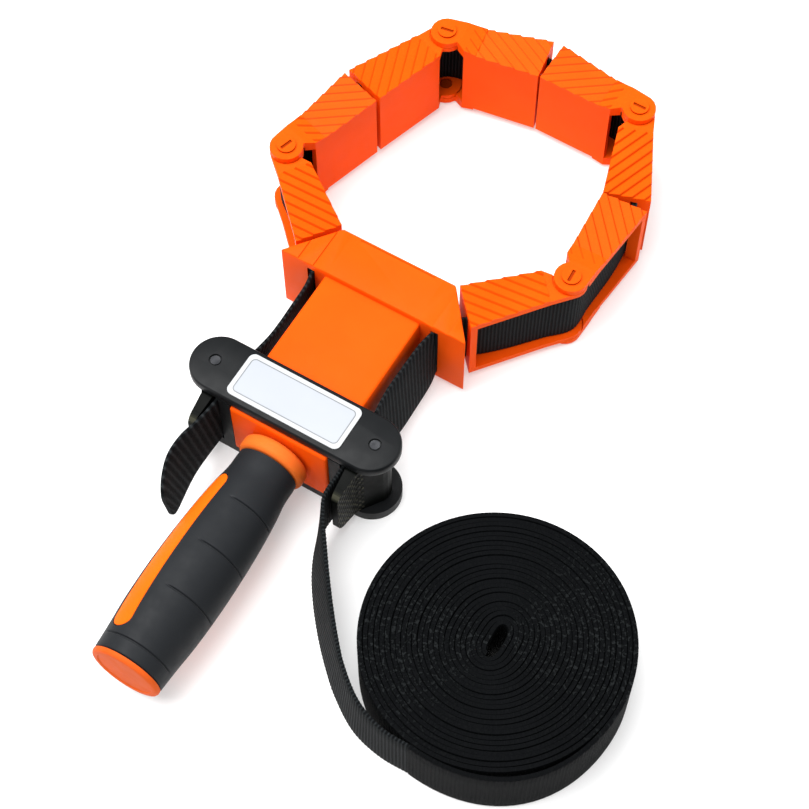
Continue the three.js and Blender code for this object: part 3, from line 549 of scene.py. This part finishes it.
def turned(name, profile, finish, segments=96, dent=None):
    """A solid turned about the handle's axis from radius and Y values. dent takes off depth at an angle,
    except in a bore."""
    bm = bmesh.new()
    rings = []
    for r, y in profile:
        if r == 0:
            rings.append([bm.verts.new((0, y, 0))] * segments)
            continue
        ring = []
        for i in range(segments):
            a = 2 * math.pi * i / segments
            reach = r - (dent(a, y) if dent and r > GRIP_BORE else 0)
            ring.append(bm.verts.new((reach * math.sin(a), y, reach * math.cos(a))))
        rings.append(ring)
    for a, b in zip(rings, rings[1:]):
        joined(bm, a, b)
    if profile[0][0] > 0:
        joined(bm, rings[-1], rings[0])
    return made(name, bm, finish)


def combined(obj, other, operation):
    """Cut another object from obj, add it, or keep only where both are."""
    step = obj.modifiers.new("boolean", "BOOLEAN")
    step.object = other
    step.operation = operation
    step.solver = "EXACT"
    graph = bpy.context.evaluated_depsgraph_get()
    mesh = bpy.data.meshes.new_from_object(obj.evaluated_get(graph))
    obj.modifiers.clear()
    obj.data = mesh
    bpy.data.objects.remove(other)


def stands_for(obj, body, node):
    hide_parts(node)
    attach(obj, body)


def stadium(width, length, steps=16):
    """Outline with round ends, its length along Y, about the origin."""
    r = width / 2
    half = length / 2 - r
    arc = [math.pi * i / steps for i in range(steps + 1)]
    return [(r * math.cos(a), half + r * math.sin(a)) for a in arc] + \
        [(-r * math.cos(a), -half - r * math.sin(a)) for a in arc]


def front_moulding():
    """Jaw and box in one: rounded edges, the webbing's slots, and a fine line along the jaw's front."""
    wide, narrow = JAW_BACK_HALF, JAW_FRONT_HALF
    outline = [(-wide, -JAW_DEPTH), (wide, -JAW_DEPTH), (narrow, 0), (-narrow, 0)]
    body = prism("jaw_and_box", outline, -JAW_TOP, JAW_TOP, "orange", 0.7)
    shell = block("shell", -BOX_HALF, BOX_HALF, BOX_REAR, -JAW_DEPTH + 3, -BOX_TOP, BOX_TOP, "orange", 1.0)
    combined(body, shell, "UNION")

    def cut(cutter):
        combined(body, cutter, "DIFFERENCE")

    inner, back = BOX_HALF - BOX_WALL, BOX_REAR + BOX_WALL
    cut(block("hollow", -inner, inner, back, -JAW_DEPTH, -BOX_TOP - 1, BOX_TOP - BOX_WALL, "orange"))
    for y0, y1 in ((BOX_REAR - 1, back + 1), (-JAW_DEPTH - 1, -JAW_DEPTH + 6)):
        cut(turned("bore", [(0, y0), (SCREW_HOLE, y0), (SCREW_HOLE, y1), (0, y1)], "orange", 48))
    way = (EXIT - ENTRY).normalized()
    across = Vector((way.y, -way.x)) * SLOT_HALF
    start, end = ENTRY - way, EXIT + way
    slot = [start - across, start + across, end + across, end - across]
    for side in (-1, 1):
        cut(prism("slot", [(side * p.x, p.y) for p in slot], -SLOT_TOP, SLOT_TOP, "orange"))
        z0, z1 = sorted((side * (JAW_TOP - LINE_DEEP), side * (JAW_TOP + 1)))
        cut(block("line", -LINE_HALF, LINE_HALF, LINE_BACK, LINE_FRONT, z0, z1, "orange"))
        # Shallow slopes across the ends of its top
        for x in SLOPE_STARTS:
            x0, x1 = side * x, side * (x + SLOPE_WIDTH)
            slope = [(x0, JAW_TOP), (x1, JAW_TOP - SLOPE_DEEP), (x1, JAW_TOP + 1), (x0, JAW_TOP + 1)]
            cutter = prism("slope", slope, -1, JAW_DEPTH + 1, "orange")
            cutter.data.transform(Matrix.Rotation(math.pi / 2, 4, "X"))
            cut(cutter)
    stands_for(shaded(body), "slide", "slide_body")


def upper_plate():
    """The yoke's upper plate, with a rounded edge and a round recess for each pin's head."""
    low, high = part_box("yoke_top")
    z0, z1 = low[2] / MM, high[2] / MM
    bm = bmesh.new()
    rings = []
    for inset, z in (
        (0.8, z0), (0.2, z0 + 0.25), (0, z0 + 0.8),
        (0, z1 - 1.1), (0.12, z1 - 0.6), (0.42, z1 - 0.2), (1.0, z1),
    ):
        half = PLATE_ROUND - inset
        points = stadium(2 * half, 2 * (PLATE_STRAIGHT + half), 32)
        rings.append([bm.verts.new((b, a + YOKE_Y, z)) for a, b in points])
    bm.faces.new(rings[0])
    bm.faces.new(rings[-1])
    for a, b in zip(rings, rings[1:]):
        joined(bm, a, b)
    plate = made("yoke_upper_plate", bm, "black")
    turn = [math.pi * i / 20 for i in range(40)]
    for side in (-1, 1):
        for radius, base in ((HEAD_RADIUS, z1 - HEAD_DEEP), (HOLE_RADIUS, z0 - 1)):
            hole = [(side * PIN_X + radius * math.cos(a), YOKE_Y + radius * math.sin(a)) for a in turn]
            combined(plate, prism("hole", hole, base, z1 + 1, "black"), "DIFFERENCE")
    stands_for(shaded(plate, 28), "yoke", "yoke_top")


def rounded(x0, x1, y0, y1, inset, r):
    """Outline of a rectangle with round corners, set in from its sides."""
    points = []
    for cx, cy, turn in ((x1, y1, 0), (x0, y1, 90), (x0, y0, 180), (x1, y0, 270)):
        sx, sy = (1 if cx == x1 else -1), (1 if cy == y1 else -1)
        for k in range(9):
            a = math.radians(turn + 11.25 * k)
            x, y = cx - sx * (inset + r), cy - sy * (inset + r)
            points.append((x + r * math.cos(a), y + r * math.sin(a)))
    return points


def label_frame():
    """The fine grey line inside the label's edge, and the plain field within it."""
    low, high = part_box("label_plate")
    z = high[2] / MM
    area = [v / MM for v in (low[0], high[0], low[1], high[1])]

    def patch(name, inset, z0, z1, finish):
        return prism(name, rounded(*area, inset, LABEL_CORNER - inset), z0, z1, finish)

    outer, inner = LABEL_LINE
    line = patch("label_line", outer, z - 0.05, z + 0.03, "line")
    combined(line, patch("inside", inner, z - 1, z + 1, "line"), "DIFFERENCE")
    field = patch("label_field", LABEL_FIELD, z - 0.05, z + 0.03, "panel")
    for piece in (line, field):
        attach(piece, "yoke")


def mixed(a, b, w):
    return [x + (y - x) * w for x, y in zip(a, b)]


def curve_point(points, t, s):
    """The point at time s of a smooth curve that is at four points at the times t."""
    def between(i, k, a, b):
        return mixed(a, b, (s - t[i]) / (t[k] - t[i]))

    a1, a2, a3 = (between(i, i + 1, points[i], points[i + 1]) for i in range(3))
    return between(1, 2, between(0, 2, a1, a2), between(1, 3, a2, a3))


def spaced(points, step):
    """A smooth line through points, at even steps. Each point is x, y, z and then its lean in degrees."""
    rows = [list(p) + [0.0] * (4 - len(p)) for p in points]
    rows = [mixed(rows[1], rows[0], 2)] + rows + [mixed(rows[-2], rows[-1], 2)]
    fine = []
    for k in range(1, len(rows) - 2):
        four = rows[k - 1:k + 3]
        t = [0.0]
        for a, b in zip(four, four[1:]):
            t.append(t[-1] + max(math.dist(a[:3], b[:3]), 1e-6) ** 0.5)
        fine += [curve_point(four, t, t[1] + (t[2] - t[1]) * i / 24) for i in range(24)]
    fine.append(rows[-2])
    far = [0.0]
    for a, b in zip(fine, fine[1:]):
        far.append(far[-1] + math.dist(a[:3], b[:3]))
    count = max(2, round(far[-1] / step))
    out, k = [], 0
    for i in range(count + 1):
        d = far[-1] * i / count
        while k < len(far) - 2 and far[k + 1] < d:
            k += 1
        out.append(mixed(fine[k], fine[k + 1], (d - far[k]) / max(far[k + 1] - far[k], 1e-9)))
    return out


def length_of(route):
    return sum(math.dist(a[:3], b[:3]) for a, b in zip(route, route[1:]))


GRIP_LINE = [(r, y) for r, y, _, _ in spaced([
    (GRIP_RADIUS * share, GRIP_FRONT + (GRIP_REAR - GRIP_FRONT) * along, 0) for along, share in GRIP_SHAPE
], 0.8)]


def grip_radius(y):
    for (r0, y0), (r1, y1) in zip(GRIP_LINE, GRIP_LINE[1:]):
        if y >= y1:
            return r0 + (r1 - r0) * (y0 - y) / (y0 - y1)
    return GRIP_LINE[-1][0]


def groove(angle, y):
    """Depth of the fine grooves that run round the grip between its two inlays. The last one is longer."""
    near = min(GROOVES, key=lambda g: abs(g - y))
    first, last = LAST_SPAN if near == GROOVES[-1] else GROOVE_SPAN
    shift = min(first, 0)
    t = (math.degrees(angle) + INLAY_ANGLE - shift) % 180 + shift
    ends = min(max((t - first) / GROOVE_FADE, 0), 1) * min(max((last - t) / GROOVE_FADE, 0), 1)
    return GROOVE_DEEP * ends * math.exp(-((y - near) / GROOVE_HALF) ** 2)


def inlay_bar(width, extra):
    """Cutters with the inlays' outline, one on each side."""
    middle = (INLAY_FRONT + INLAY_REAR) / 2
    outline = stadium(width, INLAY_FRONT - INLAY_REAR + extra)
    bars = []
    for turn in (-INLAY_ANGLE, 180 - INLAY_ANGLE):
        bar = prism("inlay_bar", outline, 0, GRIP_RADIUS + 1, "orange")
        bar.data.transform(
            Matrix.Rotation(math.radians(turn), 4, "Y") @ Matrix.Translation((0, middle * MM, 0))
            @ Matrix.Rotation(math.radians(INLAY_TWIST), 4, "Z")
        )
        bars.append(bar)
    return bars


def soft_sleeve():
    """The grip's soft sleeve, with its fine grooves and an opening for each inlay."""
    rings = {round(GRIP_REAR + 0.6 + 1.3 * i, 3) for i in range(62)}
    rings |= {round(g + d, 3) for g in GROOVES for d in (-0.75, -0.45, -0.25, -0.1, 0.1, 0.25, 0.45, 0.75)}
    stations = [y for y in sorted(rings, reverse=True) if GRIP_REAR + 0.5 < y < GRIP_FRONT - 1.2]
    front, rear = grip_radius(GRIP_FRONT), grip_radius(GRIP_REAR)
    sleeve = turned("grip_soft_sleeve", [
        (GRIP_BORE, GRIP_FRONT - 0.3), (front - 0.7, GRIP_FRONT - 0.3), (front - 0.15, GRIP_FRONT - 0.5),
        *((grip_radius(y), y) for y in stations),
        (rear - 0.1, GRIP_REAR + 0.25), (rear - 0.5, GRIP_REAR), (GRIP_BORE, GRIP_REAR),
    ], "rubber", 120, groove)
    for bar in inlay_bar(INLAY_WIDTH + 0.7, 0.7):
        combined(sleeve, bar, "DIFFERENCE")
    stands_for(shaded(sleeve, 30), "handle", "grip_sleeve")


def handle_core():
    """The tube in the sleeve, with the round collar in front of it."""
    r, e = COLLAR_RADIUS, COLLAR_ROUND
    quarter = [math.pi / 2 * i / 6 for i in range(7)]
    rim = [(r - e + e * math.sin(a), COLLAR_FRONT - e + e * math.cos(a)) for a in quarter]
    rim += [(r - e + e * math.cos(a), GRIP_FRONT + e - e * math.sin(a)) for a in quarter]
    end, step = GRIP_REAR + 0.3, GRIP_REAR + 0.3 + PLUG_LENGTH
    core = turned("handle_core_and_collar", [
        (CORE_BORE, COLLAR_FRONT), *rim, (CORE_RADIUS, GRIP_FRONT), (CORE_RADIUS, end), (CAP_BORE, end),
        (CAP_BORE, step), (CORE_BORE, step),
    ], "collar")
    stands_for(shaded(core, 30), "handle", "handle_core")


def inlays():
    """The two long inlays that lie in the sleeve's openings."""
    foot, front, rear = CORE_RADIUS + 0.05, -94, -159
    for bar, word in zip(inlay_bar(INLAY_WIDTH, 0), ("left", "right")):
        back = [(grip_radius(y) - 0.1, y) for y in range(front, rear - 1, -1)]
        inlay = turned(f"grip_inlay_{word}", [(foot, front), *back, (foot, rear)], "inlay", 120)
        combined(inlay, bar, "INTERSECT")
        shaded(inlay)
        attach(inlay, "handle")


def end_cap():
    r = GRIP_RADIUS * GRIP_SHAPE[-1][1]
    front = GRIP_REAR - 0.3
    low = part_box("end_cap")[0][1] / MM
    cap = turned("grip_end_cap", [
        (0, low + 0.35), (r - 2.6, low + 0.35), (r - 2.2, low), (r - 1.0, low), (r - 0.35, low + 0.3),
        (r, low + 0.9), (r, front),
        (CAP_PLUG, front), (CAP_PLUG, front + PLUG_LENGTH), (0, front + PLUG_LENGTH),
    ], "cap")
    stands_for(shaded(cap), "handle", "end_cap")


def strip(
    name, route, start=0.0, thick=STRAP_THICK, ribs=0.0, scale=None, skew=0.0, finish="webbing", edge=0.55,
):
    """Webbing on its edge along a route, in mm. start is how far along the whole band it begins, and skew
    how far its ribs lean over for each mm of its width."""
    h, t, up = STRAP_HALF, thick / 2, Vector((0, 0, 1))
    face = [(t, -h + 0.35), (t, -h / 2), (t, 0), (t, h / 2), (t, h - 0.35), (t * edge, h - 0.05)]
    section = face + [(-x, z) for x, z in face[::-1]] + [(-t * edge, -h + 0.05), (t * edge, -h + 0.05)]
    bm = bmesh.new()
    uv = bm.loops.layers.uv.new("weave")
    rings, far, d = [], [], start
    for i, p in enumerate(route):
        a, b = route[max(i - 1, 0)], route[min(i + 1, len(route) - 1)]
        ahead = Vector((b[0] - a[0], b[1] - a[1], 0)).normalized()
        side = Vector((-ahead.y, ahead.x, 0))
        if i:
            d += math.dist(route[i - 1][:3], p[:3])
        lean = math.radians(p[3])
        upward = up * math.cos(lean) + side * math.sin(lean)
        out = side * math.cos(lean) - up * math.sin(lean)
        swell = 1 + ribs * math.sin(2 * math.pi * d / RIB_PITCH)
        share = scale[i] if scale else 1.0
        rings.append([
            bm.verts.new(Vector(p[:3]) + out * (across * swell) + upward * (high * share))
            for across, high in section
        ])
        far.append(d)
    n = len(section)
    for i in range(len(rings) - 1):
        for j in range(n):
            k = (j + 1) % n
            quad = bm.faces.new((rings[i][j], rings[i][k], rings[i + 1][k], rings[i + 1][j]))
            for loop, (u, v) in zip(quad.loops, ((i, j), (i, k), (i + 1, k), (i + 1, j))):
                loop[uv].uv = ((far[u] + skew * section[v][1]) * MM, section[v][1] * MM)
    for ring, at in ((rings[0][::-1], far[0]), (rings[-1], far[-1])):
        for loop in bm.faces.new(ring).loops:
            loop[uv].uv = (at * MM, 0.0)
    return shaded(made(name, bm, finish), 50)


def along_arm(k, u, v):
    """A point by its distance from the hinge along arm k and from its middle line outwards (v below 0)."""
    hinge, (ax, ay), side = arm_line(k)
    return (hinge[0] + ax * u - ay * side * v, hinge[1] + ay * u + ax * side * v)


def half_loop(arms):
    """Points from the jaw through the arms to the open gap, with the places where the strip is cut."""
    points, cuts = [], []
    for i, k in enumerate(arms):
        for u, v in BOW if i % 2 else BOW[::-1]:
            points.append((*along_arm(k, u, v), 0))
            if u == SPLIT:
                cuts.append(len(points) - 1)
        if i % 2 == 0:
            (ax, ay), (bx, by) = along_arm(k, 0, KNUCKLE), along_arm(arms[i + 1], 0, KNUCKLE)
            points.append(((ax + bx) / 2, (ay + by) / 2, 0))
    return points, cuts


def nearest(route, point):
    return min(range(len(route)), key=lambda i: math.dist(route[i][:2], point[:2]))


def loop_side(side, arms):
    """The webbing of one half of the loop: pieces that bend from the jaw to the first arm and so on."""
    points, cuts = half_loop(arms)
    entry = []
    for share in (0.03, 0.35, 0.7, 0.97):
        at = ENTRY.lerp(EXIT, share)
        entry.append((side * at.x, at.y, 0))
    last = along_arm(arms[-1], ARM_LENGTH + LINK_GAP / 2 + 0.3, BOW_END)
    route = spaced([*entry, *points, (*last, 0)], STEP)
    stops = [0] + [nearest(route, points[c]) for c in cuts] + [len(route) - 1]
    bodies = ["slide"] + [f"arm_{k}" for k in arms]
    word = "left" if side < 0 else "right"
    begin = LOOP_FROM
    for i, (a, b) in enumerate(zip(stops, stops[1:])):
        part = route[a:b + 1]
        obj = strip(f"webbing_{word}_{i + 1}", part, begin, ribs=RIB_SWELL)
        begin += length_of(part)
        if i == len(arms):
            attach(obj, bodies[i])
            continue
        hidden = [f"strap_in_arm_{arms[i]}"]
        if i == 0:
            hidden.append(f"strap_in_jaw_{word}")
        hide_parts(*hidden)
        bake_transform(obj)


def front_lengths():
    """The two strained lengths from the cams to the jaw, whose upper edges lean inwards."""
    for side, word in ((-1, "left"), (1, "right")):
        x = STRAP_X * side
        rows = ((-56.75, 3), (-46, 10), (-34, 10), (-23.5, 8), (-18, 3))
        route = spaced([(x, y, 0, lean * side) for y, lean in rows], STEP)
        front = strip(f"webbing_front_{word}", route, FRONT_FROM, skew=-0.2, finish="strained")
        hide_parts(f"strap_front_{word}")
        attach(front, "yoke")
        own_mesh(front)


def from_yoke(rows):
    return [(x, YOKE_Y + y, z, lean) for x, y, z, lean in rows]


def short_tail():
    """The free end on the left, narrowed to a round tip."""
    route = spaced(from_yoke(LEFT_TAIL), STEP)
    taper = []
    for p in route:
        left = min(math.dist(p[:2], route[-1][:2]) / TAIL_ROUND, 1.0)
        taper.append(0.34 + 0.66 * math.sqrt(1 - (1 - left) ** 2))
    tail = strip("webbing_tail", route, TAIL_FROM, scale=taper, skew=-0.17, finish="tail")
    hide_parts("strap_tail_left")
    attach(tail, "yoke")


def coil_route(steps=96):
    """Loops that lie closer and closer about a narrow slit, and rise and fall a little."""
    route = []
    inward = (COIL_OUTER - SLIT_HALF) / COIL_LOOPS
    for i in range(COIL_LOOPS * steps + 1):
        turn = i / steps
        angle = math.radians(COIL_START) + turn * 2 * math.pi
        reach = COIL_OUTER - inward * turn
        if turn < BULGE_TURNS:
            reach += BULGE * math.sin(math.pi * turn / BULGE_TURNS) ** 2
        stretch = SLIT_REACH * (turn / COIL_LOOPS) ** 1.5
        up = math.sin(angle)
        uneven = 0.06 * math.sin(turn * 1.7 + 0.4) * math.sin(2 * angle + turn * 0.9)
        rise = 0.55 * math.sin(turn * 2.4 + 0.7) * math.sin(angle + turn * 1.9) ** 2
        route.append([
            COIL_X + math.cos(angle) * (reach + uneven),
            COIL_Y + up * (reach + uneven) + stretch * 1.25 * up / (abs(up) + 0.25),
            FLOOR + STRAP_HALF + COIL_LIFT + rise, 0.0,
        ])
    return route


def spare_webbing():
    """The free run on the right and the coil that it ends in."""
    coil = coil_route()
    run = spaced(from_yoke(FREE_RUN) + [(*coil[0][:3], 0)], STEP)
    free = strip("webbing_free_run", run, RUN_FROM, ribs=RIB_SWELL)
    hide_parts("strap_free_run")
    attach(free, "yoke")
    begin = RUN_FROM + length_of(run)
    wound = strip("webbing_coil", coil, begin, thick=COIL_THICK, finish="wound", edge=COIL_EDGE)
    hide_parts("strap_coil")
    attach(wound, "yoke")


def add_stage():
    """A pale floor, a white sky, a key light at the front left and a weak one behind on the right."""
    floor = Nodes("floor")
    drift = floor.noise(floor.place(), 3, 2)
    floor.colour(floor.ramp(drift, [(0.3, (0.62, 0.62, 0.62)), (0.7, (0.64, 0.64, 0.64))]))
    floor.set(Roughness=0.9, Emission_Color=(1, 1, 1, 1), Emission_Strength=0.36)
    mesh = bpy.data.meshes.new("floor")
    bm = bmesh.new()
    bmesh.ops.create_grid(bm, x_segments=1, y_segments=1, size=3.0)
    bm.to_mesh(mesh)
    bm.free()
    obj = bpy.data.objects.new("floor", mesh)
    obj.location = (0, 0, FLOOR * MM - 0.0002)
    mesh.materials.append(floor.material)
    scene.collection.objects.link(obj)
    world = bpy.data.worlds.new("studio")
    world.use_nodes = True
    world.node_tree.nodes["Background"].inputs["Color"].default_value = (1, 1, 1, 1)
    world.node_tree.nodes["Background"].inputs["Strength"].default_value = 0.42
    scene.world = world
    for name, place, size, power in (
        ("key", (-0.35, -0.20, 1.20), 1.2, 37.0),
        ("fill", (0.75, 0.35, 0.8), 0.9, 4.0),
    ):
        light = bpy.data.lights.new(name, "AREA")
        light.size = size
        light.energy = power
        lamp = bpy.data.objects.new(name, light)
        lamp.location = place
        lamp.rotation_euler = (Vector((0.02, -0.03, 0)) - Vector(place)).to_track_quat("-Z", "Y").to_euler()
        scene.collection.objects.link(lamp)


front_moulding()
upper_plate()
label_frame()
soft_sleeve()
handle_core()
inlays()
end_cap()
loop_side(-1, [1, 2, 3, 4])
loop_side(1, [8, 7, 6, 5])
front_lengths()
short_tail()
spare_webbing()
add_stage()
